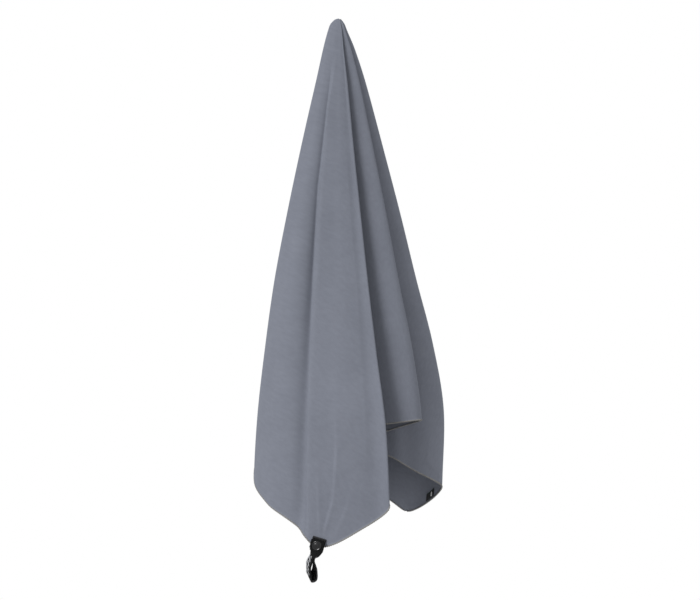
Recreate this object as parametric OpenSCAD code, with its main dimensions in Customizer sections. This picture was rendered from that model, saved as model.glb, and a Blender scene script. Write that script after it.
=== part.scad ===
// Quick dry towel, hung by the middle of one long edge.
// The origin is the point that the towel hangs from. X runs to the right, Y to the back, Z up.

/* [Towel] */
// Long side of the cut cloth
towel_len = 1000; // [980:10:1020]
// Short side of the cut cloth
towel_drop = 600; // [590:5:610]
// Thickness of the cloth
cloth_t = 1.2; // [0.8:0.1:1.4]
// Diameter of the overlocked edge
edge_d = 2.3; // [1.8:0.1:2.6]
// How sharp the four corners are cut, where higher is sharper
corner_sharpness = 60; // [50:5:80]

/* [Label] */
// Length of the label along the edge
label_w = 27; // [24:1:30]
// Height of the label
label_h = 12; // [10:0.5:14]
// Thickness of the folded label
label_t = 0.8; // [0.6:0.1:1]

/* [Strap] */
// Width of the webbing
strap_w = 20; // [18:0.5:22]
// Thickness of the webbing
strap_t = 1.3; // [1.1:0.1:1.4]
// How far the strap leans from the vertical
strap_lean = 15; // [12:1:18]
// How far the strap is turned to lie on the cloth
strap_yaw = 11; // [9:1:13]

/* [Snap] */
// Diameter of the domed cap
cap_d = 13.6; // [13:0.2:14]
// Height of the dome above the webbing
cap_h = 2; // [1.6:0.1:2.4]
// Diameter of the socket
socket_d = 11; // [10.6:0.2:11.4]
// Bore of the socket
socket_bore = 7; // [6.9:0.1:7.2]
// Depth of the socket
socket_h = 2.6; // [2.5:0.1:2.8]
// Diameter of the stud's head
stud_d = 5.4; // [5.2:0.1:5.6]

/* [Hidden] */

gap = 0.05;            // between pieces that lie against each other
cloth_color = "#767c8a";
thread_color = "#a2a5ab";
strap_color = "#17181a";
snap_color = "#0d0d0f";

// ---------------------------------------------------------------- drape
// Every point of the cloth has a reach, its distance from the hang point, and an angle,
// which is -90 and 90 along the two halves of the upper edge and 0 straight across the towel.
// FOLDS gives [angle, x, y] of the folds at a reach of 600, seen from above, from the left half
// of the upper edge round the front to the right half.
FOLDS = [
    // curtain folds at the back, left
    [-90, -28, 84], [-86, -32, 124], [-84.5, -38, 138], [-82.5, -46, 126], [-79, -49, 94],
    [-76.5, -52, 66], [-75, -58, 56], [-73.5, -64, 66], [-71, -67, 94], [-67.5, -70, 128],
    [-66, -77, 140], [-64, -85, 128], [-61, -88, 94], [-58.5, -91, 68], [-57, -97, 60],
    [-55.5, -103, 68], [-53.5, -107, 92], [-52, -113, 104], [-50.5, -121, 94],
    // left side and front panel
    [-48, -128, 62], [-46.5, -128, 30], [-45.2, -121, 0], [-44, -98, -38], [-43, -76, -57],
    [-42, -60, -68], [-41, -47, -74], [-39.9, -33, -77], [-39.2, -18, -79], [-38.3, 0, -82],
    [-36.7, 26, -82], [-35.3, 48, -80], [-34.3, 60, -83], [-33.6, 65, -86], [-32.9, 65, -80],
    // first hidden pleat and second panel
    [-31.2, 50, -70], [-25, -14, -56], [-19.5, -72, -42], [-18, -85, -34], [-17, -87, -26],
    [-16, -80, -20], [-12, -40, -26], [-6, 20, -38], [0, 76, -47], [3, 106, -44],
    [4.5, 117, -37], [5.3, 119, -30], [6.2, 114, -23],
    // second hidden pleat and third panel
    [10, 76, -18], [14, 34, -10], [16, 14, -4], [17, 6, 6], [18.2, 14, 13], [21.7, 62, 4],
    [26, 96, 5], [29, 124, 12], [31, 142, 26], [33, 154, 52],
    // right side and back panel
    [35, 150, 76], [37.5, 131, 95], [39.8, 102, 106], [41.1, 84, 109], [42.5, 66, 107],
    [44.3, 54, 98],
    // curtain folds at the back, right
    [46, 50, 84], [48, 46, 66], [50, 40, 57], [52, 33, 68], [55, 30, 98], [58, 27, 134],
    [60, 20, 148], [62, 12, 134], [65, 9, 98], [68, 5, 68], [70, -2, 58], [72, -9, 68],
    [75, -12, 98], [78, -15, 130], [80, -20, 141], [82, -24, 128], [85, -22, 92],
    [87.5, -19, 69], [90, -17, 48]];

// Share of the width and depth that the folds have opened to at each reach
REACHES = [0, 10, 20, 50, 100, 200, 300, 400, 500, 600, 700, 800];
OPEN_LEFT = [0, 0.072, 0.122, 0.19, 0.28, 0.45, 0.61, 0.755, 0.865, 0.955, 1, 1];
OPEN_MIDDLE = [0, 0.02, 0.04, 0.08, 0.155, 0.305, 0.465, 0.63, 0.81, 1, 1.08, 1.12];
OPEN_RIGHT = [0, 0.04, 0.065, 0.14, 0.24, 0.41, 0.575, 0.73, 0.893, 1.003, 0.995, 0.97];
OPEN_DEPTH = [0, 0.03, 0.06, 0.12, 0.19, 0.31, 0.43, 0.57, 0.77, 1, 1.15, 1.28];

// The right lower corner turns up towards the back
corner_flick = 45;     // depth that its tip gains
flick_size = 120;      // how far from the tip the turn starts

fold_steps = 2;        // columns of the mesh between two points of FOLDS
rows = 14;             // rows of the mesh from the gathered top to the edge
row_bias = 1.35;       // how much closer the rows lie at the top
top_reach = 12;        // where the mesh of the cloth starts
thin_rate = 0.012;     // thickness that fits between the gathered layers, per mm of reach
edge_gap = 0.3;        // between the cloth and its overlock
corner_angle = atan2(towel_len / 2, towel_drop);

function limit(v, low, high) = max(low, min(high, v));
function ease(v, a, b) = let (t = limit((v - a) / (b - a), 0, 1)) t * t * (3 - 2 * t);
function unit(v) = v / norm(v);

// Smooth curve through the values v at the places k
function slope(k, v, i) =
    let (a = max(i - 1, 0), b = min(i + 1, len(k) - 1)) (v[b] - v[a]) / (k[b] - k[a]);
function blend(a, b, slope_a, slope_b, h, t) =
    (2 * t ^ 3 - 3 * t ^ 2 + 1) * a + (t ^ 3 - 2 * t ^ 2 + t) * h * slope_a
    + (3 * t ^ 2 - 2 * t ^ 3) * b + (t ^ 3 - t ^ 2) * h * slope_b;
function smooth(k, v, q) =
    let (i = max([for (j = [0 : len(k) - 2]) if (j == 0 || k[j] <= q) j]), h = k[i + 1] - k[i])
    blend(v[i], v[i + 1], slope(k, v, i), slope(k, v, i + 1), h, (q - k[i]) / h);

FOLD_ANGLES = [for (f = FOLDS) f[0]];
FOLD_PLAN = [for (f = FOLDS) [f[1], f[2]]];

// A rib is the line of the cloth at one angle: [angle, x, y] at a reach of 600
function rib(angle) = concat([angle], smooth(FOLD_ANGLES, FOLD_PLAN, angle));

// Place of a rib's point at a reach
function place(rib, reach) =
    let (left = smooth(REACHES, OPEN_LEFT, reach),
         middle = smooth(REACHES, OPEN_MIDDLE, reach),
         right = smooth(REACHES, OPEN_RIGHT, reach),
         x = rib[1] * (left + (middle - left) * ease(rib[1], -40, 20)
                       + (right - middle) * ease(rib[1], 64, 119)),
         to_tip = norm([reach * sin(rib[0]) - towel_len / 2, reach * cos(rib[0]) - towel_drop]),
         y = rib[2] * smooth(REACHES, OPEN_DEPTH, reach)
             + corner_flick * max(0, 1 - to_tip / flick_size) ^ 2)
    [x, y, -sqrt(max(0, reach ^ 2 - x ^ 2 - y ^ 2))];

// Direction that the outer face looks in
function facing(angle, reach) =
    let (a = rib(max(angle - 0.2, -90)), b = rib(min(angle + 0.2, 90)), c = rib(angle))
    unit(cross(place(c, reach + 1) - place(c, reach - 1), place(b, reach) - place(a, reach)));

// Reach of a line that runs inside the cut edge at a distance, with its corners rounded
function edge_reach(angle, inside) =
    let (t = abs(angle), across = (towel_drop - inside) / max(cos(t), 0.001),
         along = (towel_len / 2 - inside) / max(sin(t), 0.001), p = corner_sharpness)
    (across ^ -p + along ^ -p) ^ (-1 / p);

function cloth_reach(angle) = edge_reach(angle, edge_d + edge_gap);
function thickness(reach) = min(cloth_t, thin_rate * reach);
function skin(angle, reach, side) =
    place(rib(angle), reach) + side * facing(angle, reach) * thickness(reach) / 2;

// Closed solid from a grid of front points and a grid of back points, both [column][row]
module slab(front, back) {
    n = len(front);
    m = len(front[0]);
    points = concat([for (c = front) for (p = c) p], [for (c = back) for (p = c) p]);
    function f(i, j) = i * m + j;
    function b(i, j) = n * m + i * m + j;
    faces = concat(
        [for (i = [0 : n - 2]) for (j = [0 : m - 2]) each
            [[f(i, j), f(i + 1, j), f(i, j + 1)], [f(i + 1, j), f(i + 1, j + 1), f(i, j + 1)],
             [b(i, j), b(i, j + 1), b(i + 1, j)], [b(i + 1, j), b(i, j + 1), b(i + 1, j + 1)]]],
        [for (i = [0 : n - 2]) each
            [[f(i, 0), b(i, 0), f(i + 1, 0)], [f(i + 1, 0), b(i, 0), b(i + 1, 0)],
             [f(i, m - 1), f(i + 1, m - 1), b(i, m - 1)],
             [f(i + 1, m - 1), b(i + 1, m - 1), b(i, m - 1)]]],
        [for (j = [0 : m - 2]) each
            [[f(0, j), f(0, j + 1), b(0, j)], [f(0, j + 1), b(0, j + 1), b(0, j)],
             [f(n - 1, j), b(n - 1, j), f(n - 1, j + 1)],
             [f(n - 1, j + 1), b(n - 1, j), b(n - 1, j + 1)]]]);
    polyhedron(points, faces, convexity = 20);
}

// Tube along a line of points, level as far as it can be
module tube(line, radius, sides) {
    n = len(line);
    rings = [for (i = [0 : n - 1])
        let (d = unit(line[min(i + 1, n - 1)] - line[max(i - 1, 0)]),
             across = unit(cross([0, 0, 1], d)), up = cross(d, across))
        [for (k = [0 : sides - 1])
            let (a = 360 * (k + 0.5) / sides)
            line[i] + radius * (cos(a) * across + sin(a) * up)]];
    sweep(rings);
}

// Closed solid through rings that have the same number of points
module sweep(rings) {
    n = len(rings);
    s = len(rings[0]);
    points = [for (r = rings) for (p = r) p];
    faces = concat(
        [[for (k = [0 : s - 1]) k]],
        [[for (k = [s - 1 : -1 : 0]) (n - 1) * s + k]],
        [for (i = [0 : n - 2]) for (k = [0 : s - 1])
            let (a = i * s + k, b = i * s + (k + 1) % s)
            each [[a, a + s, b], [b, a + s, b + s]]]);
    polyhedron(points, faces, convexity = 10);
}

label_angle = 36.4;    // where the middle of the label is sewn on
// Millimetres of edge for each degree, at the label
label_rate = norm(edge_point(label_angle + 0.5) - edge_point(label_angle - 0.5));
label_from = label_angle - label_w / label_rate / 2;
label_to = label_angle + label_w / label_rate / 2;

FOLD_COLUMNS = concat([for (i = [0 : len(FOLDS) - 2]) for (s = [0 : fold_steps - 1])
                           FOLDS[i][0] + (FOLDS[i + 1][0] - FOLDS[i][0]) * s / fold_steps], [90]);
// The cloth also bends at both ends of the label, so that the label lies flat on it
COLUMNS = concat([for (a = FOLD_COLUMNS) if (a < label_from) a], [label_from],
                 [for (a = FOLD_COLUMNS) if (a > label_from && a < label_to) a], [label_to],
                 [for (a = FOLD_COLUMNS) if (a > label_to) a]);

// ---------------------------------------------------------------- cloth and its edges
function row_reach(angle, j) =
    top_reach + (cloth_reach(angle) - top_reach) * (j / rows) ^ row_bias;

module towel_cloth() {
    color(cloth_color)
        slab([for (a = COLUMNS) [for (j = [0 : rows]) skin(a, row_reach(a, j), 1)]],
             [for (a = COLUMNS) [for (j = [0 : rows]) skin(a, row_reach(a, j), -1)]]);
}

// The overlock runs just outside the cloth's cut edge
function edge_point(angle) = place(rib(angle), edge_reach(angle, edge_d / 2));
edge_sides = 6;
corner_gap = 0.12;     // between two runs of overlock at a corner, in degrees
edge_start = 2;        // reach at which the upper edge turns over the hang point
full_offset_reach = 25;
upper_rows = 28;

module edge_run(from, to)
    color(thread_color)
        tube([for (a = concat([from], [for (c = COLUMNS) if (c > from + 0.3 && c < to - 0.3) c],
                              [to])) edge_point(a)], edge_d / 2, edge_sides);

module lower_edge_overlock() edge_run(corner_gap - corner_angle, corner_angle - corner_gap);
module left_edge_overlock() edge_run(corner_gap - 90, -corner_angle - corner_gap);
module right_edge_overlock() edge_run(corner_angle + corner_gap, 90 - corner_gap);

// The upper edge hangs from its middle, so it goes up one half and down the other
function upper_point(angle, j) =
    let (reach = edge_start + (towel_len / 2 - 2 * edge_d - edge_start) * (j / upper_rows) ^ row_bias,
         p = place(rib(angle), reach), a = angle > 0 ? angle - 0.5 : angle + 0.5,
         inward = unit(place(rib(a), reach + 30) - place(rib(angle), reach + 30)))
    p - inward * (edge_d / 2 + edge_gap) * ease(reach, 0, full_offset_reach);
module upper_edge_overlock()
    color(thread_color)
        sweep_edge(concat([for (j = [upper_rows : -1 : 0]) upper_point(-90, j)],
                          [for (j = [0 : upper_rows]) upper_point(90, j)]));
module sweep_edge(line) {
    n = len(line);
    sweep([for (i = [0 : n - 1])
        let (d = unit(line[min(i + 1, n - 1)] - line[max(i - 1, 0)]),
             across = unit(cross(d, [1, 0, 0])), up = cross(d, across))
        [for (k = [0 : edge_sides - 1])
            let (a = 360 * (k + 0.5) / edge_sides)
            line[i] + edge_d / 2 * (cos(a) * across + sin(a) * up)]]);
}

// ---------------------------------------------------------------- label
label_inset = 0.8;     // between the label and the overlock
label_lift = 0.35;     // between the cloth and the label
stitch_r = 0.25;
stitches = 6;
function label_point(angle, v, lift) =
    let (reach = cloth_reach(angle) - label_inset - (1 - v) * label_h)
    place(rib(angle), reach) - facing(angle, reach) * (cloth_t / 2 + lift);

module label() {
    columns = [for (a = COLUMNS) if (a >= label_from && a <= label_to) a];
    color(strap_color)
        slab([for (a = columns) [for (v = [0 : 0.25 : 1]) label_point(a, v, label_lift)]],
             [for (a = columns) [for (v = [0 : 0.25 : 1]) label_point(a, v, label_lift + label_t)]]);
}

// A row of stitches through each end of the label
module label_stitching() {
    lift = label_lift + label_t + stitch_r + 3 * gap;
    color("black")
        for (a = [label_from + 0.12, label_to - 0.12])
            for (k = [0 : stitches - 1])
                tube([label_point(a, (k + 0.2) / stitches, lift),
                      label_point(a + 0.004, (k + 0.8) / stitches, lift)], stitch_r, 6);
}

// ---------------------------------------------------------------- strap
// The strap's own frame has its origin on the cloth's face at the seam that it hangs from:
// X across the webbing, Y into the cloth, Z up along the strap.
seam_angle = -39.66;
seam_reach = 760.5;
seam = place(rib(seam_angle), seam_reach) - [0, cloth_t / 2 + 0.1, 0];
module on_strap() translate(seam) rotate([0, 0, -strap_yaw]) rotate([0, strap_lean, 0]) children();

tail_h = 2.8;          // sewn end above the seam
seam_y = -0.1 - strap_t / 2;                       // middle of the sewn end
leg_top = -2.6;        // where the back leg starts, below the bend at the seam
snap_z = -7.6;         // centre of the snap
fold_z = -15.4;        // where the flap bends
back_y = -2.9;         // middle of the back leg at the snap
flange_t = 0.8;
stud_base_d = 10;
stud_neck_d = 4.6;
post_d = 9;
shank_d = 4;
stack = flange_t + socket_h + 0.1;                 // between the two legs at the snap
front_y = back_y - strap_t - stack;                // middle of the front leg at the snap
round_n = 48;

module across_y(y, z) translate([0, y, z]) rotate([90, 0, 0]) children();
// Flat length of webbing with one hole for a shank
module leg(y, top, bottom)
    difference() {
        translate([-strap_w / 2, y - strap_t / 2, bottom]) cube([strap_w, strap_t, top - bottom]);
        across_y(y + strap_t, snap_z) cylinder(d = shank_d + 2 * gap, h = 2 * strap_t, $fn = round_n);
    }

// The webbing bends over its own thickness
module bend(y, z)
    translate([-strap_w / 2, y, z]) rotate([0, 90, 0]) cylinder(d = strap_t, h = strap_w, $fn = round_n);

module strap_sewn_end()
    color(strap_color)
        on_strap() {
            translate([-strap_w / 2, seam_y - strap_t / 2, 0]) cube([strap_w, strap_t, tail_h]);
            bend(seam_y, 0);
        }

bars = 13;
bar_r = 0.3;
module strap_bartack()
    color("black")
        on_strap()
            for (k = [0 : bars - 1])
                translate([(k - (bars - 1) / 2) * strap_w / (bars + 1),
                           seam_y - strap_t / 2 - bar_r - 0.01, 0.6])
                    rotate([0, 12, 0]) cylinder(r = bar_r, h = tail_h - 0.8, $fn = 16);

// Loop below the snap: [z, x, y] of its middle line, space between the legs, turn, roll
LOOP = [[-12, 0, -5.3, 4.9, 0, 0], [-15.5, -0.2, -5.3, 4.8, 8, 0], [-18.5, -1, -5.3, 3.8, 34, 1],
        [-21.5, -2, -5.2, 2.8, 56, 4], [-24.5, -2.6, -4.9, 2.4, 64, 8], [-28, -2.6, -4.3, 3.4, 61, 12],
        [-32, -2, -3.2, 6.4, 56, 16], [-37, -1, -1.9, 9.8, 53, 19], [-42, 0, -0.6, 10.6, 51, 22],
        [-47, 1, 0.7, 10.4, 47, 26], [-52, 1.8, 2, 9, 43, 30]];
LOOP_Z = [for (l = LOOP) -l[0]];
LOOP_ROWS = [for (l = LOOP) [l[1], l[2], l[3], l[4], l[5]]];
loop_steps = 16;
bend_steps = 8;
function loop_at(z) = smooth(LOOP_Z, LOOP_ROWS, -z);
function width_dir(turn, roll) = [cos(turn) * cos(roll), -sin(turn) * cos(roll), -sin(roll)];
function out_dir(turn) = [sin(turn), cos(turn), 0];
// Station of the webbing's middle line: [point, direction of its width]
function leg_station(z, side) =
    let (l = loop_at(z))
    [[l[0], l[1], z] + side * out_dir(l[3]) * l[2] / 2, width_dir(l[3], l[4])];
loop_low = LOOP[len(LOOP) - 1][0];
function bend_station(a) =
    let (l = loop_at(loop_low), down = cross(width_dir(l[3], l[4]), out_dir(l[3])), r = l[2] / 2,
         d = down[2] > 0 ? -down : down)
    [[l[0], l[1], loop_low] + r * cos(a) * out_dir(l[3]) + r * sin(a) * d, width_dir(l[3], l[4])];
leg_join = -14;      // where the flat leg becomes the twisted one
front_join = fold_z - strap_t / 2 - 0.12;
function leg_z(from, k) = from + (loop_low - from) * k / loop_steps;
STATIONS = concat([for (k = [0 : loop_steps]) leg_station(leg_z(leg_join, k), 1)],
                  [for (k = [1 : bend_steps - 1]) bend_station(180 * k / bend_steps)],
                  [for (k = [loop_steps : -1 : 0]) leg_station(leg_z(front_join, k), -1)]);
function strap_ring(i) =
    let (n = len(STATIONS), w = STATIONS[i][1],
         d = unit(STATIONS[min(i + 1, n - 1)][0] - STATIONS[max(i - 1, 0)][0]),
         t = unit(cross(d, w)))
    [for (c = [[-1, -1], [1, -1], [1, 1], [-1, 1]])
        STATIONS[i][0] + c[0] * w * strap_w / 2 + c[1] * t * strap_t / 2];

module strap_loop()
    color(strap_color)
        on_strap() {
            leg(back_y, leg_top, leg_join);
            sweep([for (i = [0 : len(STATIONS) - 1]) strap_ring(i)]);
        }

module strap_flap()
    color(strap_color)
        on_strap() {
            leg(front_y, -0.3, fold_z);
            bend(front_y, fold_z);
        }

// ---------------------------------------------------------------- snap
module snap_stud()
    color(snap_color)
        on_strap()
            across_y(back_y - strap_t / 2, snap_z) {
                cylinder(d = stud_base_d, h = flange_t, $fn = round_n);
                cylinder(d = stud_neck_d, h = flange_t + 1, $fn = round_n);
                translate([0, 0, flange_t + 1]) cylinder(d = stud_d, h = 0.9, $fn = round_n);
                translate([0, 0, -strap_t / 2]) cylinder(d = shank_d, h = strap_t, $fn = round_n);
            }

module snap_post()
    color(snap_color)
        on_strap()
            across_y(back_y + strap_t / 2 + flange_t, snap_z) {
                cylinder(d = post_d, h = flange_t, $fn = round_n);
                cylinder(d = shank_d, h = flange_t + strap_t / 2 - gap, $fn = round_n);
            }

spring_wire = 0.5;
spring_len = 3.2;
spring_y = 1.1;        // from the socket's mouth to the wires
module snap_socket()
    color(snap_color)
        on_strap()
            across_y(front_y + strap_t / 2 + socket_h, snap_z)
                difference() {
                    cylinder(d = socket_d, h = socket_h, $fn = round_n);
                    translate([0, 0, -1]) cylinder(d = socket_bore, h = socket_h + 2, $fn = round_n);
                    translate([0, 0, spring_y - spring_wire])
                        cylinder(d = socket_bore + 4 * spring_wire, h = 2 * spring_wire, $fn = round_n);
                }

// Two wires that grip the stud's neck, drawn sprung apart
module snap_spring()
    color("silver")
        on_strap()
            for (side = [-1, 1])
                translate([side * (socket_bore / 2 + 0.35), front_y + strap_t / 2 + socket_h - spring_y,
                           snap_z - spring_len / 2])
                    cylinder(d = spring_wire, h = spring_len, $fn = 16);

rim_h = 0.3;
dome_n = 8;
module snap_cap()
    color(snap_color)
        on_strap()
            across_y(front_y - strap_t / 2, snap_z) {
                rotate_extrude($fn = round_n)
                    polygon(concat([[0, 0], [cap_d / 2, 0]],
                                   [for (k = [0 : dome_n])
                                       [cap_d / 2 * cos(90 * k / dome_n),
                                        rim_h + (cap_h - rim_h) * sin(90 * k / dome_n)]]));
                translate([0, 0, -strap_t]) cylinder(d = shank_d, h = strap_t, $fn = round_n);
            }

towel_cloth();
lower_edge_overlock();
upper_edge_overlock();
left_edge_overlock();
right_edge_overlock();
label();
label_stitching();
strap_sewn_end();
strap_bartack();
strap_loop();
snap_stud();
snap_post();
strap_flap();
snap_socket();
snap_spring();
snap_cap();
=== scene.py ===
"""Looks for the quick dry towel: the draped cloth, its overlocked edges, the label, the strap and the snap.

Lengths are in mm where the shapes are worked out, and become metres in new_object().
"""

import math

import bpy
import mathutils
import numpy as np
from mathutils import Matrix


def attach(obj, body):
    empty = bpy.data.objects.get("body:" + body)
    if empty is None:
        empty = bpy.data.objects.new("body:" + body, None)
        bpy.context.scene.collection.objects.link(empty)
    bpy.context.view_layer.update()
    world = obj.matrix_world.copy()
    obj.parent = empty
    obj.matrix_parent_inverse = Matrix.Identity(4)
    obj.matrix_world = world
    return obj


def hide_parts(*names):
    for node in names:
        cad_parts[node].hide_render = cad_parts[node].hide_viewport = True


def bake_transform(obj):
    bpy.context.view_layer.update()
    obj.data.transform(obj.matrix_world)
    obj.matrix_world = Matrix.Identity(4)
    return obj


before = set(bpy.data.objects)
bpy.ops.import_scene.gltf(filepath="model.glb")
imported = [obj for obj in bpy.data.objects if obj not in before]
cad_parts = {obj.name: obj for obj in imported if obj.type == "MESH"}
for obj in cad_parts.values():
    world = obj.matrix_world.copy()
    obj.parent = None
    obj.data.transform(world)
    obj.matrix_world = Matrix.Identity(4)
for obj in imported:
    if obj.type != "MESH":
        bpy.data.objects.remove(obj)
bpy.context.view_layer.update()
MM = 0.001

# ---------------------------------------------------------------- drape
# The cloth hangs from the origin. A point of it has a reach, its distance from there in mm, and an
# angle: -90 and 90 along the two halves of the upper edge, 0 straight across the towel.
# FOLDS gives [angle, x, y] of the folds at a reach of 600, seen from above.
FOLDS = np.array([
    # curtain folds at the back, left
    [-90, -28, 84], [-86, -32, 124], [-84.5, -38, 138], [-82.5, -46, 126], [-79, -49, 94],
    [-76.5, -52, 66], [-75, -58, 56], [-73.5, -64, 66], [-71, -67, 94], [-67.5, -70, 128],
    [-66, -77, 140], [-64, -85, 128], [-61, -88, 94], [-58.5, -91, 68], [-57, -97, 60],
    [-55.5, -103, 68], [-53.5, -107, 92], [-52, -113, 104], [-50.5, -121, 94],
    # left side and front panel
    [-48, -128, 62], [-46.5, -128, 30], [-45.2, -121, 0], [-44, -98, -38], [-43, -76, -57],
    [-42, -60, -68], [-41, -47, -74], [-39.9, -33, -77], [-39.2, -18, -79], [-38.3, 0, -82],
    [-36.7, 26, -82], [-35.3, 48, -80], [-34.3, 60, -83], [-33.6, 65, -86], [-32.9, 65, -80],
    # first hidden pleat and second panel
    [-31.2, 50, -70], [-25, -14, -56], [-19.5, -72, -42], [-18, -85, -34], [-17, -87, -26],
    [-16, -80, -20], [-12, -40, -26], [-6, 20, -38], [0, 76, -47], [3, 106, -44],
    [4.5, 117, -37], [5.3, 119, -30], [6.2, 114, -23],
    # second hidden pleat and third panel
    [10, 76, -18], [14, 34, -10], [16, 14, -4], [17, 6, 6], [18.2, 14, 13], [21.7, 62, 4],
    [26, 96, 5], [29, 124, 12], [31, 142, 26], [33, 154, 52],
    # right side and back panel
    [35, 150, 76], [37.5, 131, 95], [39.8, 102, 106], [41.1, 84, 109], [42.5, 66, 107],
    [44.3, 54, 98],
    # curtain folds at the back, right
    [46, 50, 84], [48, 46, 66], [50, 40, 57], [52, 33, 68], [55, 30, 98], [58, 27, 134],
    [60, 20, 148], [62, 12, 134], [65, 9, 98], [68, 5, 68], [70, -2, 58], [72, -9, 68],
    [75, -12, 98], [78, -15, 130], [80, -20, 141], [82, -24, 128], [85, -22, 92],
    [87.5, -19, 69], [90, -17, 48]])

# Share of the width and depth that the folds have opened to at each reach
REACHES = np.array([0, 10, 20, 50, 100, 200, 300, 400, 500, 600, 700, 800.0])
OPEN_LEFT = np.array([0, 0.072, 0.122, 0.19, 0.28, 0.45, 0.61, 0.755, 0.865, 0.955, 1, 1])
OPEN_MIDDLE = np.array([0, 0.02, 0.04, 0.08, 0.155, 0.305, 0.465, 0.63, 0.81, 1, 1.08, 1.12])
OPEN_RIGHT = np.array([0, 0.04, 0.065, 0.14, 0.24, 0.41, 0.575, 0.73, 0.893, 1.003, 0.995, 0.97])
OPEN_DEPTH = np.array([0, 0.03, 0.06, 0.12, 0.19, 0.31, 0.43, 0.57, 0.77, 1, 1.15, 1.28])

CORNER_FLICK = 45.0     # depth that the tip of the right lower corner gains, as it turns to the back
FLICK_SIZE = 120.0      # how far from the tip the turn starts

TOWEL_LEN = 1000.0
TOWEL_DROP = 600.0
EDGE_D = 2.3            # width of the overlocked edge
CLOTH_T = 1.0           # thickness of the cloth that shows
CORNER_SHARPNESS = 60
CORNER = math.degrees(math.atan2(TOWEL_LEN / 2, TOWEL_DROP))

# Creases that the cloth keeps: the [angle, reach] of the line's points, the height just before and
# just after it, and how far each fades out to the left and to the right, in mm
CREASES = [
    ([(-40.6, 60), (-41.6, 130), (-42.0, 250), (-41.5, 420), (-41.2, 600), (-40.9, 740)],
     -5.4, 2.2, 14.0, 24.0),
    ([(-38.66, 590), (-38.6, 640), (-38.8, 705), (-39.35, 748)], -0.6, 2.8, 7.0, 8.0),
    ([(-39.9, 660), (-39.8, 700), (-39.7, 752)], -0.3, 1.8, 4.0, 5.0),
    ([(-37.4, 690), (-37.9, 720), (-38.6, 750)], -0.3, 1.4, 5.0, 6.0),
    ([(-36.5, 200), (-35.9, 400), (-36.1, 650)], 0.9, 1.0, 9.0, 10.0),
    ([(29.6, 640), (29.2, 662), (30.2, 678), (31.6, 692)], 1.0, 2.2, 3.0, 5.0),
]
CREASE_STEP = 2.2       # half the width over which the height changes from before to after

# Soft bulge and dip of the left part of the front panel: angle, width in degrees, height in mm
SWELLS = [(-43.5, 0.95, 7.0), (-41.75, 0.6, -4.5)]


def ease(v, a, b):
    """0 below a, 1 above b, and a soft step between them"""
    t = np.clip((v - a) / (b - a), 0, 1)
    return t * t * (3 - 2 * t)


def unit(v):
    return v / np.maximum(np.linalg.norm(v, axis=-1, keepdims=True), 1e-9)


def smooth(k, v, q):
    """Smooth curve through the values v at the places k, read at q"""
    n = len(k)
    before = np.maximum(np.arange(n) - 1, 0)
    after = np.minimum(np.arange(n) + 1, n - 1)
    slope = (v[after] - v[before]) / (k[after] - k[before])
    i = np.clip(np.searchsorted(k, q, side="right") - 1, 0, n - 2)
    h = k[i + 1] - k[i]
    t = (q - k[i]) / h
    return ((2 * t ** 3 - 3 * t ** 2 + 1) * v[i] + (t ** 3 - 2 * t ** 2 + t) * h * slope[i]
            + (3 * t ** 2 - 2 * t ** 3) * v[i + 1] + (t ** 3 - t ** 2) * h * slope[i + 1])


def even_plan(step=1.5, soften=3.0):
    """The fold line at a reach of 600 in even steps: distance along it, angle, x and y.
    It is softened over a few mm, so that light runs over it without bands."""
    angle = np.linspace(-90, 90, 7201)
    x = smooth(FOLDS[:, 0], FOLDS[:, 1], angle)
    y = smooth(FOLDS[:, 0], FOLDS[:, 2], angle)
    arc = np.concatenate([[0], np.cumsum(np.hypot(np.diff(x), np.diff(y)))])
    even = np.linspace(0, arc[-1], int(arc[-1] / step))
    half = int(4 * soften / step)
    kernel = np.exp(-0.5 * (np.arange(-half, half + 1) * step / soften) ** 2)
    kernel /= kernel.sum()
    softened = []
    for values in (angle, x, y):
        v = np.interp(even, arc, values)
        before = 2 * v[0] - v[half:0:-1]
        after = 2 * v[-1] - v[-2:-half - 2:-1]
        softened.append(np.convolve(np.concatenate([before, v, after]), kernel, "valid"))
    softened[0][0], softened[0][-1] = -90, 90
    return even, *softened


PLAN_ARC, PLAN_ANGLE, PLAN_X, PLAN_Y = even_plan()


def place(angle, reach):
    """Point of the smooth folds, in mm"""
    x0 = np.interp(angle, PLAN_ANGLE, PLAN_X)
    y0 = np.interp(angle, PLAN_ANGLE, PLAN_Y)
    left = smooth(REACHES, OPEN_LEFT, reach)
    middle = smooth(REACHES, OPEN_MIDDLE, reach)
    right = smooth(REACHES, OPEN_RIGHT, reach)
    x = x0 * (left + (middle - left) * ease(x0, -40, 20) + (right - middle) * ease(x0, 64, 119))
    to_tip = np.hypot(reach * np.sin(np.radians(angle)) - TOWEL_LEN / 2,
                      reach * np.cos(np.radians(angle)) - TOWEL_DROP)
    flick = CORNER_FLICK * np.maximum(1 - to_tip / FLICK_SIZE, 0) ** 2
    y = y0 * smooth(REACHES, OPEN_DEPTH, reach) + flick
    z = -np.sqrt(np.maximum(reach ** 2 - x ** 2 - y ** 2, 0))
    return np.stack([x, y, z], -1)


def edge_reach(angle, inside=0.0):
    """Reach of a line that runs inside the cut edge at a distance, with its corners rounded"""
    t = np.radians(np.abs(angle))
    across = (TOWEL_DROP - inside) / np.maximum(np.cos(t), 0.001)
    along = (TOWEL_LEN / 2 - inside) / np.maximum(np.sin(t), 0.001)
    p = CORNER_SHARPNESS
    return (across ** -p + along ** -p) ** (-1 / p)


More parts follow.
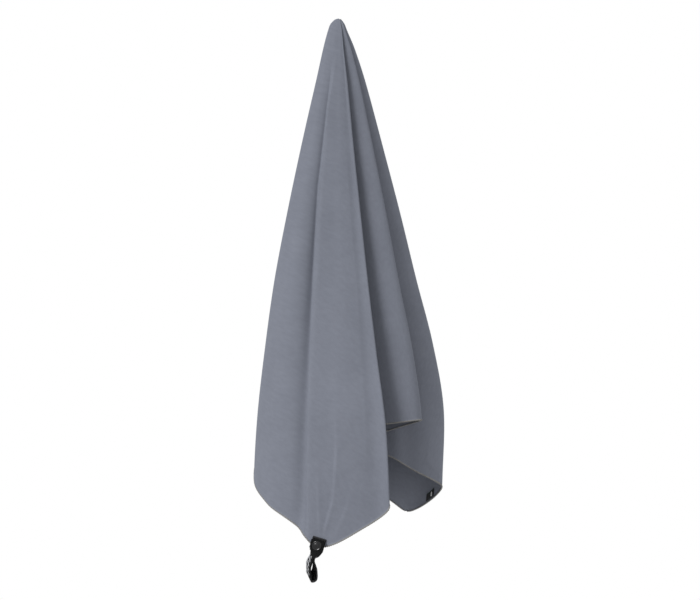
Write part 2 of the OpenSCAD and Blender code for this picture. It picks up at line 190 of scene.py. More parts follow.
def relief(angle, reach):
    """Height in mm of the creases and of soft waves over the smooth folds, towards the outer face"""
    wave = np.sin(np.radians(angle * 47 + reach * 0.11)) * 0.5
    wave = wave + np.sin(np.radians(angle * 83 - reach * 0.23 + 40)) * 0.35
    for middle, width, high in SWELLS:
        wave = wave + high * np.exp(-((angle - middle) / width) ** 2)
    height = wave * ease(reach, 60, 420) * (1 - ease(reach, 700, 750) * ease(angle, -42.5, -41))
    for line, before, after, left, right in CREASES:
        line_angle, line_reach = np.array(line).T
        line_arc = np.interp(np.interp(reach, line_reach, line_angle), PLAN_ANGLE, PLAN_ARC)
        off = (np.interp(angle, PLAN_ANGLE, PLAN_ARC) - line_arc) * reach / 600
        fade = ease(reach, line_reach[0] - 20, line_reach[0] + 60)
        fade = fade * (1 - ease(reach, line_reach[-1] - 15, line_reach[-1] + 20))
        step = ease(off, -CREASE_STEP, CREASE_STEP)
        height = height + fade * (before * np.exp(np.minimum(off, 0) / left) * (1 - step)
                                  + after * np.exp(-np.maximum(off, 0) / right) * step)
    return height


def cloth_point(angle, reach, lift=0.0):
    """Point of the finished cloth in mm, lifted off its middle towards the outer face"""
    along = place(np.minimum(angle + 0.15, 90), reach) - place(np.maximum(angle - 0.15, -90), reach)
    down = place(angle, reach + 1) - place(angle, reach - 1)
    out = unit(np.cross(down, along))
    return place(angle, reach) + out * (relief(angle, reach) + lift)[..., None]


def cloth_frame(angle, reach):
    """Points of the cloth and the direction out of it"""
    across = unit(cloth_point(np.minimum(angle + 0.1, 90), reach)
                  - cloth_point(np.maximum(angle - 0.1, -90), reach))
    down = unit(cloth_point(angle, reach + 1) - cloth_point(angle, reach - 1))
    return cloth_point(angle, reach), unit(np.cross(down, across))


# ---------------------------------------------------------------- mesh tools
def new_object(name, points, faces, uvs=None):
    """Smooth-shaded mesh object from points in mm. uvs gives one pair for each point."""
    mesh = bpy.data.meshes.new(name)
    face_list = faces if isinstance(faces, list) else faces.tolist()
    mesh.from_pydata((np.asarray(points) * MM).tolist(), [], face_list)
    if uvs is not None:
        layer = mesh.uv_layers.new(name="flat")
        corners = np.empty(len(mesh.loops), dtype=np.int32)
        mesh.loops.foreach_get("vertex_index", corners)
        layer.data.foreach_set("uv", np.asarray(uvs, dtype=np.float32)[corners].ravel())
    mesh.polygons.foreach_set("use_smooth", [True] * len(mesh.polygons))
    mesh.update()
    obj = bpy.data.objects.new(name, mesh)
    bpy.context.scene.collection.objects.link(obj)
    return obj


def grid_faces(columns, rows, first=0, flip=False):
    """Quads over a grid of points stored column by column"""
    i, j = np.meshgrid(np.arange(columns - 1), np.arange(rows - 1), indexing="ij")
    a = (i * rows + j).ravel() + first
    quads = np.stack([a, a + rows, a + rows + 1, a + 1], -1)
    return quads[:, ::-1] if flip else quads


def shell(front, back):
    """Points and faces of a closed sheet between two grids [column][row] of points"""
    n, m = front.shape[:2]
    rim = [(0, j) for j in range(m)] + [(i, m - 1) for i in range(1, n)]
    rim += [(n - 1, j) for j in range(m - 2, -1, -1)] + [(i, 0) for i in range(n - 2, 0, -1)]
    a = np.array([i * m + j for i, j in rim])
    b = np.roll(a, -1)
    points = np.concatenate([front.reshape(-1, 3), back.reshape(-1, 3)])
    faces = np.concatenate([grid_faces(n, m, 0, flip=True), grid_faces(n, m, n * m),
                            np.stack([a, b, b + n * m, a + n * m], -1)])
    return points, faces


def tube(rings):
    """Points and faces of a closed tube through rings [ring][point], with an even number of points"""
    n, s = rings.shape[:2]
    i, k = np.meshgrid(np.arange(n - 1), np.arange(s), indexing="ij")
    a, b = (i * s + k).ravel(), (i * s + (k + 1) % s).ravel()
    caps = np.array([[0, q, q + 1, q + 2] for q in range(1, s - 2, 2)])
    faces = np.concatenate([np.stack([a, b, b + s, a + s], -1), caps[:, ::-1], caps + (n - 1) * s])
    return rings.reshape(-1, 3), faces


def oval_rings(path, side, up, half_w, half_h, sides):
    a = 2 * np.pi * (np.arange(sides) + 0.5) / sides
    return (path[:, None] + side[:, None] * (np.cos(a) * half_w)[None, :, None]
            + up[:, None] * (np.sin(a) * half_h)[None, :, None])


def thread(path, hint, radius, sides=6):
    """Tube for a thread that runs along a path, kept from twisting by a hint for its side"""
    along = unit(np.gradient(path, axis=0))
    side = unit(hint - along * (hint * along).sum(-1, keepdims=True))
    return tube(oval_rings(path, side, np.cross(along, side), radius, radius, sides))


def join(parts):
    """Points and faces of several parts as one"""
    starts = np.cumsum([0] + [len(points) for points, _ in parts])
    return (np.concatenate([points for points, _ in parts]),
            np.concatenate([faces + start for (_, faces), start in zip(parts, starts)]))


# ---------------------------------------------------------------- materials
def new_material(name, **sockets):
    """Principled material. Socket names are written with underscores."""
    mat = bpy.data.materials.new(name)
    mat.use_nodes = True
    shader = mat.node_tree.nodes["Principled BSDF"]
    for key, value in sockets.items():
        name = {"ior": "IOR", "specular": "Specular IOR Level"}.get(key, key.replace("_", " ").title())
        shader.inputs[name].default_value = value
    return mat


def node(mat, kind, links=(), **settings):
    """New node. links are (socket name, value or output); settings are the node's own properties."""
    made = mat.node_tree.nodes.new("ShaderNode" + kind)
    for key, value in settings.items():
        setattr(made, key, value)
    for key, value in links:
        socket = made.inputs[key]
        if isinstance(value, bpy.types.NodeSocket):
            mat.node_tree.links.new(value, socket)
        else:
            socket.default_value = value
    return made


def plug(mat, key, output):
    mat.node_tree.links.new(output, mat.node_tree.nodes["Principled BSDF"].inputs[key])


def flat_uv(mat):
    return node(mat, "UVMap", uv_map="flat").outputs["UV"]


def object_place(mat):
    return node(mat, "TexCoord").outputs["Object"]


def math_node(mat, operation, a, b=None, clamp=False):
    links = [(0, a)] + ([] if b is None else [(1, b)])
    return node(mat, "Math", links, operation=operation, use_clamp=clamp).outputs[0]


def mix_color(mat, factor, a, b):
    made = node(mat, "Mix", [("Factor", factor)], data_type="RGBA")
    for socket, value in ((made.inputs[6], a), (made.inputs[7], b)):
        if isinstance(value, bpy.types.NodeSocket):
            mat.node_tree.links.new(value, socket)
        else:
            socket.default_value = value
    return made.outputs[2]


def mix_value(mat, factor, a, b):
    made = node(mat, "Mix", [(0, factor)], data_type="FLOAT")
    for socket, value in ((made.inputs[2], a), (made.inputs[3], b)):
        mat.node_tree.links.new(value, socket)
    return made.outputs[0]


def noise(mat, where, scale, detail=2.0, roughness=0.5, stretch=None):
    if stretch is not None:
        where = node(mat, "Mapping", [("Vector", where), ("Scale", stretch)]).outputs[0]
    return node(mat, "TexNoise", [("Vector", where), ("Scale", scale), ("Detail", detail),
                                  ("Roughness", roughness)]).outputs["Fac"]


def ramp(mat, value, low, high, to_low=0.0, to_high=1.0):
    return node(mat, "MapRange", [("Value", value), ("From Min", low), ("From Max", high),
                                  ("To Min", to_low), ("To Max", to_high)]).outputs[0]


def bump(mat, height, strength, distance):
    plug(mat, "Normal", node(mat, "Bump", [("Height", height), ("Strength", strength),
                                           ("Distance", distance)]).outputs[0])


def weave_height(mat, where, pitch):
    """Plain weave: threads that go over and under each other, with a pitch in metres"""
    turn = 2 * math.pi / pitch
    parts = node(mat, "SeparateXYZ", [("Vector", where)]).outputs
    across = math_node(mat, "SINE", math_node(mat, "MULTIPLY", parts[0], turn))
    along = math_node(mat, "SINE", math_node(mat, "MULTIPLY", parts[1], turn))
    return math_node(mat, "MULTIPLY", across, along)


def microfibre(name):
    """Blue-grey suede microfibre: a short brushed nap over a fine weave"""
    mat = new_material(name, roughness=0.92, specular=0.15, sheen_weight=0.2, sheen_roughness=0.45,
                       sheen_tint=(0.72, 0.77, 0.9, 1))
    uv, where = flat_uv(mat), object_place(mat)
    nap = noise(mat, uv, 260, 4, 0.62, stretch=(1, 0.45, 1))
    cloud = noise(mat, where, 16, 3, 0.55)
    fine = noise(mat, uv, 1500, 2, 0.6)
    deep, pale = (0.146, 0.156, 0.188, 1), (0.164, 0.175, 0.21, 1)
    tint = mix_color(mat, ramp(mat, cloud, 0.35, 0.65), deep, pale)
    dark = mix_color(mat, ramp(mat, nap, 0.35, 0.7), (0.138, 0.148, 0.178, 1), (0.174, 0.187, 0.223, 1))
    plug(mat, "Base Color", mix_color(mat, 0.4, tint, dark))
    height = math_node(mat, "ADD", math_node(mat, "MULTIPLY", weave_height(mat, uv, 0.0007), 0.35),
                       math_node(mat, "ADD", math_node(mat, "MULTIPLY", nap, 0.9), fine))
    bump(mat, height, 0.25, 0.00025)
    return mat


def spun_thread(name, dark, pale, scale=900):
    """Twisted sewing thread"""
    mat = new_material(name, roughness=0.7, specular=0.25, sheen_weight=0.2, sheen_roughness=0.5)
    where = object_place(mat)
    fibre = noise(mat, where, scale, 3, 0.6)
    plug(mat, "Base Color", mix_color(mat, ramp(mat, fibre, 0.3, 0.7), dark, pale))
    bump(mat, fibre, 0.5, 0.0002)
    return mat


# ---------------------------------------------------------------- cloth
COLUMN_STEP = 2.0       # mm between columns at a reach of 600
ROWS = 230
TOP_REACH = 2.0
THIN_RATE = 0.009       # thickness that fits between the gathered layers, per mm of reach


def make_towel():
    arc = np.linspace(0, PLAN_ARC[-1], int(PLAN_ARC[-1] / COLUMN_STEP))
    angle = np.interp(arc, PLAN_ARC, PLAN_ANGLE)[:, None]
    down = np.linspace(0, 1, ROWS)[None, :] ** 1.15
    reach = TOP_REACH + (edge_reach(angle, EDGE_D / 2) - TOP_REACH) * down
    angle = np.broadcast_to(angle, reach.shape)
    half = np.minimum(CLOTH_T, THIN_RATE * reach) / 2
    flat = np.stack([reach * np.sin(np.radians(angle)), reach * np.cos(np.radians(angle))], -1) * MM
    points, faces = shell(cloth_point(angle, reach, half), cloth_point(angle, reach, -half))
    return new_object("towel", points, faces, np.concatenate([flat.reshape(-1, 2)] * 2))


# ---------------------------------------------------------------- overlock
STITCH = 3.0            # length of one overlock stitch
WRAP_R = 0.4            # radius of its thread


def edge_samples(side, step=0.5):
    """Angle and reach along one edge of the cloth, at the middle of its overlock"""
    half, drop, inside, corner_gap = TOWEL_LEN / 2, TOWEL_DROP, EDGE_D / 2, 0.1
    if side == "upper":
        reach = np.concatenate([np.arange(half - inside, TOP_REACH, -step),
                                np.arange(TOP_REACH, half, step)])
        angle = np.where(np.arange(len(reach)) < len(reach) // 2, -90.0, 90.0)
        return angle, reach
    if side == "lower":
        x = np.arange(-half, half, step)
        angle = np.degrees(np.arctan2(x, drop))
        angle = angle[np.abs(angle) < CORNER - corner_gap]
    else:
        y = np.arange(0, drop, step)
        angle = np.degrees(np.arctan2(half, y))
        angle = angle[angle > CORNER + corner_gap] * (-1 if side == "left" else 1)
    return angle, edge_reach(angle, inside)


def spread(values, arc, at):
    return np.stack([np.interp(at, arc, values[:, k]) for k in range(values.shape[1])], -1)


def soften_path(values, half=3):
    """Takes the jitter out of a path's directions"""
    kernel = np.hanning(2 * half + 1)
    kernel /= kernel.sum()
    padded = np.concatenate([np.repeat(values[:1], half, 0), values, np.repeat(values[-1:], half, 0)])
    return np.stack([np.convolve(padded[:, k], kernel, "valid") for k in range(values.shape[1])], -1)


def make_overlock(side):
    angle, reach = edge_samples(side)
    path, out = cloth_frame(angle, reach)
    path = soften_path(path)
    along = unit(np.gradient(path, axis=0))
    out = unit(soften_path(out))
    outward = unit(np.cross(along, out))
    inward_hint = cloth_point(angle * (1 - 1e-3), reach - 1.5) - path
    outward = outward * np.where((outward * inward_hint).sum(-1, keepdims=True) > 0, -1, 1)
    arc = np.concatenate([[0], np.cumsum(np.linalg.norm(np.diff(path, axis=0), axis=1))])
    base_at = np.linspace(0, arc[-1], int(arc[-1] / 1.5))
    parts = [tube(oval_rings(spread(path, arc, base_at), spread(outward, arc, base_at),
                             spread(out, arc, base_at), EDGE_D / 2 - 0.15, 0.75, 8))]
    stitches = int(arc[-1] / STITCH)
    turns = np.linspace(0, 1, stitches * 14 + 1)
    at = turns * arc[-1]
    phase = 2 * np.pi * stitches * turns
    middle, side_way, out_way = spread(path, arc, at), spread(outward, arc, at), spread(out, arc, at)
    lean = spread(along, arc, at) * (0.45 * np.sin(phase))[:, None]
    for shift, width in ((0.0, EDGE_D / 2 - 0.15), (0.9, EDGE_D / 2 - 0.25)):
        wrap = (middle + side_way * (np.cos(phase + shift) * width)[:, None]
                + out_way * (np.sin(phase + shift) * 0.82)[:, None] + lean)
        parts.append(thread(wrap, out_way, WRAP_R))
    return new_object(side + "_overlock", *join(parts))


# ---------------------------------------------------------------- label
LABEL_ANGLE, LABEL_W, LABEL_H, LABEL_T = 36.4, 27.0, 12.0, 0.8
LABEL_INSET = 0.8       # between the label and the overlock
LABEL_LIFT = CLOTH_T / 2 + 0.12


def label_point(u, v, lift):
    """u runs along the label and v from its top to the towel's edge, in mm; lift is off the cloth"""
    rate = np.linalg.norm(cloth_point(np.array([LABEL_ANGLE + 0.5]), edge_reach(LABEL_ANGLE + 0.5))
                          - cloth_point(np.array([LABEL_ANGLE - 0.5]), edge_reach(LABEL_ANGLE - 0.5)))
    angle = LABEL_ANGLE + (u - LABEL_W / 2) / rate
    reach = edge_reach(angle, EDGE_D + 0.3) - LABEL_INSET - (LABEL_H - v)
    return cloth_point(angle, reach, -LABEL_LIFT - lift)


def make_label():
    u, v = np.meshgrid(np.linspace(0, LABEL_W, 55), np.linspace(0, LABEL_H, 25), indexing="ij")
    rim = np.minimum(np.minimum(u, LABEL_W - u), np.minimum(v, LABEL_H - v))
    full = LABEL_T * (0.45 + 0.55 * np.sqrt(np.clip(rim / 0.7, 0, 1)))
    wave = 0.12 * np.sin(u * 0.5) * (v / LABEL_H)
    back = label_point(u, v, np.zeros_like(u))
    front = label_point(u, v, full + wave + 0.12)
    points, faces = shell(front, back)
    uv = np.stack([u, v], -1).reshape(-1, 2) * MM
    return new_object("label_cloth", points, faces[:, ::-1], np.concatenate([uv] * 2))


def make_label_drop():
    """A raised pale drop woven into the label"""
    centre_u, centre_v, width, height = 9.3, 6.2, 5.4, 8.0
    s, t = np.meshgrid(np.linspace(-1, 1, 25), np.linspace(-1, 1, 33), indexing="ij")
    down = t * height / 2
    half = width / 2 * np.sqrt(np.clip(1 - t ** 2, 0, 1)) * (0.5 + 0.5 * (t + 1) / 2) ** 0.9 * 1.12
    u = centre_u + s * np.maximum(half, 0.02)
    lift = LABEL_T + 0.14 + 0.16 * (1 - s ** 4) * (1 - t ** 4)
    wave = 0.12 * np.sin(u * 0.5) * ((centre_v + down) / LABEL_H)
    front = label_point(u, centre_v + down, lift + wave)
    back = label_point(u, centre_v + down, np.full_like(u, LABEL_T - 0.05))
    points, faces = shell(front, back)
    uv = np.stack([u, centre_v + down], -1).reshape(-1, 2) * MM
    return new_object("label_drop", points, faces[:, ::-1], np.concatenate([uv] * 2))


def make_label_stitches():
    parts = []
    count, length = 9, 1.05
    for u in (1.1, LABEL_W - 1.1):
        for k in range(count):
            v0 = 0.5 + k * (LABEL_H - 1.0) / count
            t = np.linspace(0, 1, 9)
            v = v0 + t * length
            lift = LABEL_T + 0.02 + 0.3 * np.sin(np.pi * t)
            path = label_point(np.full_like(v, u) + 0.15 * t, v, lift)
            parts.append(thread(path, path[-1:] * 0 + np.array([1.0, 0.2, 0]), 0.16, 8))
    return new_object("label_stitches", *join(parts))


# ---------------------------------------------------------------- strap
STRAP_W, STRAP_T, STRAP_LEAN, STRAP_YAW = 20.0, 1.3, 15.0, 11.0
SEAM_ANGLE, SEAM_REACH = -39.66, 760.5
SEAM_Y, LEG_TOP, LEG_JOIN = -0.1 - STRAP_T / 2, -2.6, -14.0
TAIL_H, SNAP_Z, FOLD_Z, BACK_Y = 2.8, -7.6, -15.4, -2.9
FRONT_Y = BACK_Y - STRAP_T - 3.5
CAP_D, CAP_H = 13.6, 2.0

# Loop below the snap: [z, x, y] of its middle line, space between the legs, turn, roll
LOOP = np.array([[-12, 0, -5.3, 4.9, 0, 0], [-15.5, -0.2, -5.3, 4.8, 8, 0], [-18.5, -1, -5.3, 3.8, 34, 1],
                 [-21.5, -2, -5.2, 2.8, 56, 4], [-24.5, -2.6, -4.9, 2.4, 64, 8],
                 [-28, -2.6, -4.3, 3.4, 61, 12], [-32, -2, -3.2, 6.4, 56, 16], [-37, -1, -1.9, 9.8, 53, 19],
                 [-42, 0, -0.6, 10.6, 51, 22], [-47, 1, 0.7, 10.4, 47, 26], [-52, 1.8, 2, 9, 43, 30]])


def strap_axes():
    lean, yaw = math.radians(STRAP_LEAN), math.radians(-STRAP_YAW)
    about_z = np.array([[math.cos(yaw), -math.sin(yaw), 0], [math.sin(yaw), math.cos(yaw), 0], [0, 0, 1]])
    about_y = np.array([[math.cos(lean), 0, math.sin(lean)], [0, 1, 0], [-math.sin(lean), 0, math.cos(lean)]])
    return about_z @ about_y


def plain_plan(angle):
    """The fold line before it was softened, which is where the seam was measured from"""
    return smooth(FOLDS[:, 0], FOLDS[:, 1], angle), smooth(FOLDS[:, 0], FOLDS[:, 2], angle)


STRAP_AXES = strap_axes()


def seam_point():
    """Origin of the strap's frame, on the outer face of the cloth"""
    x0, y0 = plain_plan(np.array([SEAM_ANGLE]))
    left = smooth(REACHES, OPEN_LEFT, np.array([SEAM_REACH]))
    middle = smooth(REACHES, OPEN_MIDDLE, np.array([SEAM_REACH]))
    x = x0 * (left + (middle - left) * ease(x0, -40, 20))
    y = y0 * smooth(REACHES, OPEN_DEPTH, np.array([SEAM_REACH]))
    z = -np.sqrt(SEAM_REACH ** 2 - x ** 2 - y ** 2)
    return np.array([x[0], y[0] - 0.7, z[0]])


SEAM = seam_point()


def on_strap(points):
    """From the strap's own frame to the towel's"""
    return np.asarray(points) @ STRAP_AXES.T + SEAM


def loop_at(z):
    return np.stack([smooth(-LOOP[:, 0], LOOP[:, k], -z) for k in range(1, 6)], -1)


def loop_leg(z, side):
    """Middle line of one leg of the loop, and the direction of its width"""
    x, y, space, turn, roll = loop_at(z).T
    turn, roll = np.radians(turn), np.radians(roll)
    out = np.stack([np.sin(turn), np.cos(turn), 0 * turn], -1)
    width = np.stack([np.cos(turn) * np.cos(roll), -np.sin(turn) * np.cos(roll), -np.sin(roll)], -1)
    return np.stack([x, y, z], -1) + side * out * space[:, None] / 2, width, out


def flat_leg(z, y):
    z = np.asarray(z, dtype=float)
    middle = np.stack([0 * z, np.broadcast_to(y, z.shape), z], -1)
    return middle, np.broadcast_to([1.0, 0, 0], middle.shape)


def strap_path():
    """Middle line and width direction from the sewn end, down the back leg, round and up the flap"""
    low = LOOP[-1, 0]
    z = np.array([TAIL_H, 1.4, 0.3])
    pieces = [flat_leg(z, SEAM_Y), flat_leg([-1.3], (SEAM_Y + BACK_Y) / 2 - 0.1)]
    pieces.append(flat_leg(np.linspace(LEG_TOP - 0.2, -11, 5), BACK_Y))
    z = np.linspace(LEG_JOIN, low, 22)
    middle, width, _ = loop_leg(z, 1)
    pieces.append((middle, width))
    middle, width, out = loop_leg(np.array([low]), 1)
    centre, across, out = loop_at(np.array([low]))[0], width[0], out[0]
    down = np.cross(across, out)
    down = down * (-1 if down[2] > 0 else 1)
    half = centre[2] / 2
    a = np.radians(np.linspace(0, 180, 10)[1:-1])[:, None]
    bend = np.array([centre[0], centre[1], low]) + half * (np.cos(a) * out + np.sin(a) * down)
    pieces.append((bend, np.broadcast_to(across, bend.shape)))
    middle, width, _ = loop_leg(np.linspace(low, FOLD_Z - 1.0, 22), -1)
    pieces.append((middle, width))
    pieces.append(flat_leg(np.linspace(FOLD_Z + 1.5, -0.3, 7), FRONT_Y))
    return np.concatenate([p for p, _ in pieces]), np.concatenate([w for _, w in pieces])


def even_strap(step=0.4, soften=1.2):
    """The strap's path in even steps, softened, with its width and face directions"""
    middle, width = strap_path()
    arc = np.concatenate([[0], np.cumsum(np.linalg.norm(np.diff(middle, axis=0), axis=1))])
    even = np.linspace(0, arc[-1], int(arc[-1] / step))
    path, width = spread(middle, arc, even), spread(width, arc, even)
    half = int(soften / step) + 1
    path, width = soften_path(path, half), unit(soften_path(width, 2 * half))
    along = unit(np.gradient(path, axis=0))
    face = unit(np.cross(width, along))
    return even, path, unit(np.cross(along, face)), face


def webbing_relief(u, s):
    """Herringbone ribs of the webbing, with flat selvedges, from 0 to 1"""
    edge = np.minimum(u + STRAP_W / 2, STRAP_W / 2 - u)
    zig = np.abs(((u + STRAP_W / 2) / 5.0) % 2 - 1) * 5.0
    ribs = 0.5 + 0.5 * np.sin(2 * np.pi * (s * 0.8 + zig * 0.55))
    return ribs * ease(edge, 0.6, 1.6)


def webbing(name, first, last):
    """Webbing between two distances along the strap. Its outer face takes u from 0 to 20 mm in the
    UV map and its inner face from 30 to 50 mm."""
    arc, path, width, face = even_strap()
    keep = (arc >= first) & (arc <= last)
    arc, path, width, face = arc[keep], path[keep], width[keep], face[keep]
    u = np.linspace(-STRAP_W / 2 + 0.25, STRAP_W / 2 - 0.25, 53)
    round_steps = np.radians([-50, 0, 50])
    s, uu = np.meshgrid(arc, u, indexing="ij")
    ribs = webbing_relief(uu, s)
    half = STRAP_T / 2 - 0.12 + 0.12 * ribs
    edge_half = STRAP_T / 2 - 0.12
    rings = []
    for k in range(len(arc)):
        top = path[k] + width[k] * u[:, None] + face[k] * half[k][:, None]
        low = path[k] + width[k] * u[::-1][:, None] - face[k] * half[k][::-1][:, None]
        right = (path[k] + width[k] * (u[-1] + 0.25 * np.cos(round_steps))[:, None]
                 - face[k] * (edge_half * np.sin(round_steps))[:, None])
        left = (path[k] - width[k] * (u[-1] + 0.25 * np.cos(round_steps))[:, None]
                + face[k] * (edge_half * np.sin(round_steps))[:, None])
        rings.append(np.concatenate([top, right, low, left]))
    rings = np.array(rings)
    points, faces = tube(rings)
    right_u = np.full(3, STRAP_W)
    ring_u = np.concatenate([u + STRAP_W / 2, right_u, 50 - (u + STRAP_W / 2), right_u * 0 + 25.0])
    uv = np.stack(np.broadcast_arrays(ring_u[None, :], arc[:, None]), -1).reshape(-1, 2) * MM
    return new_object(name, on_strap(points), faces, uv)


def strap_split():
    """Distance along the strap where it passes LEG_JOIN on the back leg, hidden behind the snap"""
    arc, path, _, _ = even_strap()
    return arc[np.argmax(path[:, 2] < LEG_JOIN + 2.0)]


def make_bartack():
    """Dense zigzag of thread over the strap's sewn end"""
    turns, top, low = 34, 3.5, 0.5
    x = np.linspace(-STRAP_W / 2 + 0.6, STRAP_W / 2 - 0.6, turns * 2 + 1)
    z = np.where(np.arange(len(x)) % 2 == 0, low, top)
    face = SEAM_Y - STRAP_T / 2 - 0.2
    t = np.linspace(0, len(x) - 1, (len(x) - 1) * 6 + 1)
    zz = np.interp(t, np.arange(len(x)), z)
    y = np.where(zz > TAIL_H, face + 0.75 * ease(zz, TAIL_H - 0.1, top), face)
    path = soften_path(np.stack([np.interp(t, np.arange(len(x)), x), y, zz], -1), 1)
    return new_object("bartack_thread", *thread(on_strap(path), on_strap([[0, -1, 0]]) - SEAM, 0.2, 6))


# ---------------------------------------------------------------- snap
def make_cap():
    """Cap of the snap: a rolled rim round a shallow dome"""
    profile = np.array([[0.0, 0.0], [5.9, 0.0], [6.5, 0.12], [6.8, 0.45], [6.78, 0.85], [6.5, 1.2],
                        [6.05, 1.38], [5.6, 1.32], [5.3, 1.14], [5.05, 1.02], [4.7, 1.04], [4.2, 1.2],
                        [3.4, 1.5], [2.4, 1.78], [1.2, 1.95], [0.35, 2.0], [0.0, 2.0]])
    profile = profile * [CAP_D / 2 / 6.8, CAP_H / 2]
    sides = 96
    a = 2 * np.pi * np.arange(sides) / sides
    foot = FRONT_Y - STRAP_T / 2 + 0.1
    points = [[r * math.cos(t), foot - h, SNAP_Z + r * math.sin(t)]
              for r, h in profile[1:-1] for t in a]
    n = len(profile) - 2
    faces = [[i * sides + k, i * sides + (k + 1) % sides, (i + 1) * sides + (k + 1) % sides,
              (i + 1) * sides + k] for i in range(n - 1) for k in range(sides)]
    first, last = len(points), len(points) + 1
    points += [[0, foot, SNAP_Z], [0, foot - CAP_H, SNAP_Z]]
    tris = [[first, (k + 1) % sides, k] for k in range(sides)]
    tris += [[last, (n - 1) * sides + k, (n - 1) * sides + (k + 1) % sides] for k in range(sides)]
    return new_object("cap_shell", on_strap(points), faces + tris)


# ---------------------------------------------------------------- more materials
def label_material():
    mat = new_material("label", roughness=0.6, specular=0.15)
    uv = flat_uv(mat)
    v = node(mat, "SeparateXYZ", [("Vector", uv)]).outputs[1]
    green = math_node(mat, "LESS_THAN", v, 0.0008)
    thread_tint = noise(mat, uv, 900, 2, 0.6, stretch=(1, 0.3, 1))
    black = mix_color(mat, ramp(mat, thread_tint, 0.3, 0.7), (0.012, 0.013, 0.014, 1),
                      (0.026, 0.028, 0.03, 1))
    plug(mat, "Base Color", mix_color(mat, green, black, (0.012, 0.06, 0.034, 1)))
    bump(mat, weave_height(mat, uv, 0.0006), 0.35, 0.00015)
    return mat


def drop_material():
    mat = new_material("label_drop", roughness=0.55, specular=0.3)
    uv = flat_uv(mat)
    tint = noise(mat, uv, 1200, 2, 0.6, stretch=(0.3, 1, 1))
    pale = mix_color(mat, ramp(mat, tint, 0.3, 0.7), (0.5, 0.51, 0.52, 1), (0.78, 0.79, 0.8, 1))
    plug(mat, "Base Color", pale)
    bump(mat, weave_height(mat, uv, 0.0005), 0.4, 0.0001)
    return mat


STRIPE_W = 0.0032       # pale stripe at the selvedge, in metres
DASH_ROW = 0.0032       # half the distance between dashes
DASH_W = 0.00125        # half the width of a dash
DASH_FROM, DASH_TO = 0.0048, 0.0128
MARKS_FROM, MARKS_END = 0.026, 0.025    # unmarked length at the sewn end and at the flap


def webbing_material():
    """Black webbing with a pale stripe at one selvedge and slanted pale dashes woven in"""
    mat = new_material("webbing", roughness=0.8, specular=0.06, sheen_weight=0.0, sheen_roughness=0.4)
    uv = flat_uv(mat)
    parts = node(mat, "SeparateXYZ", [("Vector", uv)]).outputs
    u, s = parts[0], parts[1]
    outer = math_node(mat, "LESS_THAN", u, 0.022)
    inner_u = math_node(mat, "SUBTRACT", 0.05, u)
    side_u = mix_value(mat, outer, inner_u, u)
    stripe = math_node(mat, "LESS_THAN", side_u, STRIPE_W)
    slope = math_node(mat, "ADD", s, math_node(mat, "MULTIPLY", side_u, 0.72))
    row = math_node(mat, "PINGPONG", slope, DASH_ROW)
    dash = math_node(mat, "LESS_THAN", row, DASH_W)
    inside = math_node(mat, "MULTIPLY", math_node(mat, "GREATER_THAN", side_u, DASH_FROM),
                       math_node(mat, "LESS_THAN", side_u, DASH_TO))
    dash = math_node(mat, "MULTIPLY", dash, inside)
    below_snap = math_node(mat, "MULTIPLY", math_node(mat, "GREATER_THAN", s, MARKS_FROM),
                           math_node(mat, "LESS_THAN", s, even_strap()[0][-1] * MM - MARKS_END))
    mark = math_node(mat, "MULTIPLY", math_node(mat, "MAXIMUM", stripe, dash), below_snap)
    mark = math_node(mat, "MULTIPLY", mark, ramp(mat, outer, 0, 1, 0.16, 1.0))
    fibre = noise(mat, uv, 1100, 3, 0.6, stretch=(1, 0.4, 1))
    black = mix_color(mat, ramp(mat, fibre, 0.3, 0.7), (0.004, 0.0041, 0.0044, 1),
                      (0.011, 0.0114, 0.012, 1))
    pale = mix_color(mat, ramp(mat, fibre, 0.3, 0.7), (0.32, 0.325, 0.34, 1), (0.6, 0.61, 0.63, 1))
    plug(mat, "Base Color", mix_color(mat, mark, black, pale))
    bump(mat, math_node(mat, "ADD", weave_height(mat, uv, 0.0009), fibre), 0.4, 0.0002)
    return mat


def lacquer(name, wear_color, roughness=0.22):
    """Black lacquer over metal, with fine scratches and a little wear"""
    mat = new_material(name, roughness=roughness, specular=0.4, coat_weight=0.3, coat_roughness=0.1)
    where = object_place(mat)
    scratch = noise(mat, where, 2500, 3, 0.7, stretch=(1, 0.08, 1))
    cloud = noise(mat, where, 400, 3, 0.6)
    worn = ramp(mat, cloud, 0.62, 0.8, 0.0, 0.35)
    plug(mat, "Base Color", mix_color(mat, worn, (0.009, 0.009, 0.01, 1), wear_color))
    plug(mat, "Roughness", ramp(mat, cloud, 0.3, 0.7, roughness * 0.8, roughness * 1.6))
    bump(mat, scratch, 0.12, 0.00005)
    return mat


def spring_metal():
    mat = new_material("spring_wire", metallic=1.0, roughness=0.3)
    where = object_place(mat)
    drawn = noise(mat, where, 3000, 3, 0.6, stretch=(1, 1, 0.1))
    plug(mat, "Base Color", mix_color(mat, drawn, (0.42, 0.42, 0.43, 1), (0.68, 0.68, 0.68, 1)))
    bump(mat, drawn, 0.2, 0.00005)
    return mat


def dress(obj, mat, body=None, replaces=()):
    obj.data.materials.clear()
    obj.data.materials.append(mat)
    if body:
        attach(obj, body)
    if replaces:
        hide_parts(*replaces)
    return obj


# ---------------------------------------------------------------- the pieces
cloth_mat = microfibre("cloth")
overlock_mat = spun_thread("overlock_thread", (0.15, 0.147, 0.142, 1), (0.25, 0.243, 0.234, 1))
black_thread_mat = spun_thread("black_thread", (0.008, 0.008, 0.009, 1), (0.022, 0.022, 0.024, 1))
snap_mat = lacquer("snap", (0.05, 0.05, 0.05, 1))

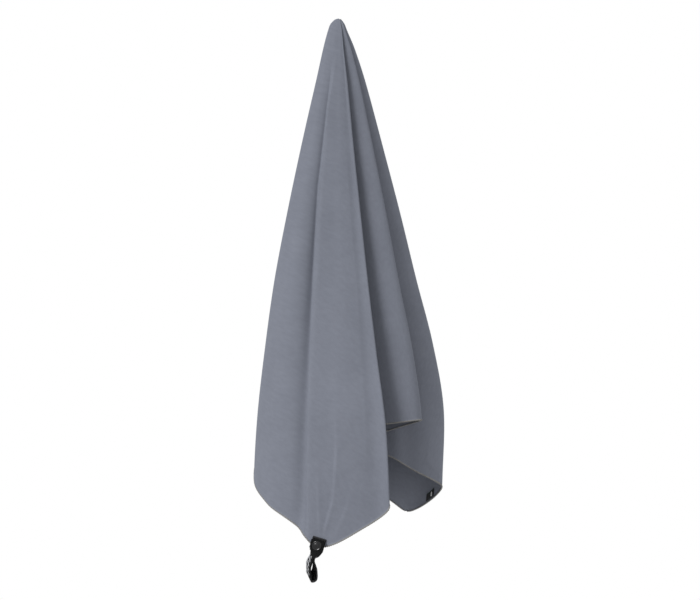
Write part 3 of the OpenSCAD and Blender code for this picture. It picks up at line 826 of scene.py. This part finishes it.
towel = dress(make_towel(), cloth_mat, "towel", ["towel_cloth"])
overlocks = [dress(make_overlock(side), overlock_mat, "towel", [side + "_edge_overlock"])
             for side in ("lower", "upper", "left", "right")]
label = dress(make_label(), label_material(), "towel", ["label"])
label_drop = dress(make_label_drop(), drop_material(), "towel")
label_stitches = dress(make_label_stitches(), black_thread_mat, "towel",
                       ["label_stitching"])
dress(make_bartack(), black_thread_mat, "towel", ["strap_bartack"])

split = strap_split()
strap_end = even_strap()[0][-1]
webbing_mat = webbing_material()
strap_upper = dress(webbing("strap_hanger", 0, split + 0.3), webbing_mat, None,
                    ["strap_sewn_end"])
strap_lower = dress(webbing("strap_closed_loop", split, strap_end), webbing_mat, None,
                    ["strap_loop", "strap_flap"])
dress(make_cap(), snap_mat, "flap", ["snap_cap"])


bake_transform(strap_upper)
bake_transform(strap_lower)

for name, mat in (("snap_stud", snap_mat), ("snap_post", snap_mat), ("snap_socket", snap_mat),
                  ("snap_spring", spring_metal())):
    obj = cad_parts[name]
    obj.data.materials.clear()
    obj.data.materials.append(mat)


# ---------------------------------------------------------------- floor, light and camera
FLOOR_Z = -1.8
FLOOR_HALF = 0.8        # half the side of the floor, in metres
FILL_STRENGTH = 0.45    # what the surroundings light with; they show at 1
KEY_FROM = (-0.63, -0.53, 0.57)
SIDE_FROM = (0.85, -0.4, 0.3)


def make_floor():
    mesh = bpy.data.meshes.new("floor")
    corners = [(x * FLOOR_HALF, y * FLOOR_HALF, FLOOR_Z) for x, y in ((-1, -1), (1, -1), (1, 1), (-1, 1))]
    mesh.from_pydata(corners, [], [(0, 1, 2, 3)])
    floor = bpy.data.objects.new("floor", mesh)
    bpy.context.scene.collection.objects.link(floor)
    floor.data.materials.append(new_material("floor", base_color=(0.95, 0.95, 0.95, 1), roughness=0.9))


def add_sun(name, place, strength, softness):
    """A far, soft light that shines from a place towards the origin"""
    data = bpy.data.lights.new(name, "SUN")
    data.energy = strength
    data.angle = math.radians(softness)
    obj = bpy.data.objects.new(name, data)
    obj.rotation_euler = mathutils.Vector(place).to_track_quat("Z", "Y").to_euler()
    bpy.context.scene.collection.objects.link(obj)


def make_light():
    """Soft key from the left and a weak light from the right.
    The white surroundings light the towel at less than they show."""
    world = bpy.data.worlds.new("studio")
    world.use_nodes = True
    tree = world.node_tree
    seen = tree.nodes["Background"]
    seen.inputs["Color"].default_value = (1, 1, 1, 1)
    fill = tree.nodes.new("ShaderNodeBackground")
    fill.inputs["Color"].default_value = (1, 1, 1, 1)
    fill.inputs["Strength"].default_value = FILL_STRENGTH
    path = tree.nodes.new("ShaderNodeLightPath")
    mix = tree.nodes.new("ShaderNodeMixShader")
    tree.links.new(path.outputs["Is Camera Ray"], mix.inputs[0])
    tree.links.new(fill.outputs[0], mix.inputs[1])
    tree.links.new(seen.outputs[0], mix.inputs[2])
    tree.links.new(mix.outputs[0], tree.nodes["World Output"].inputs["Surface"])
    bpy.context.scene.world = world
    add_sun("key", KEY_FROM, 3.25, 25)
    add_sun("side", SIDE_FROM, 1.0, 60)


def make_camera():
    data = bpy.data.cameras.new("camera")
    data.sensor_width = 36
    data.lens = 90.96
    camera = bpy.data.objects.new("camera", data)
    camera.location = (0.0147, -2.6, -0.4145)
    camera.rotation_euler = (math.radians(90), 0, 0)
    bpy.context.scene.collection.objects.link(camera)
    bpy.context.scene.camera = camera


make_floor()
make_light()
make_camera()
bpy.context.scene.view_settings.view_transform = "Standard"
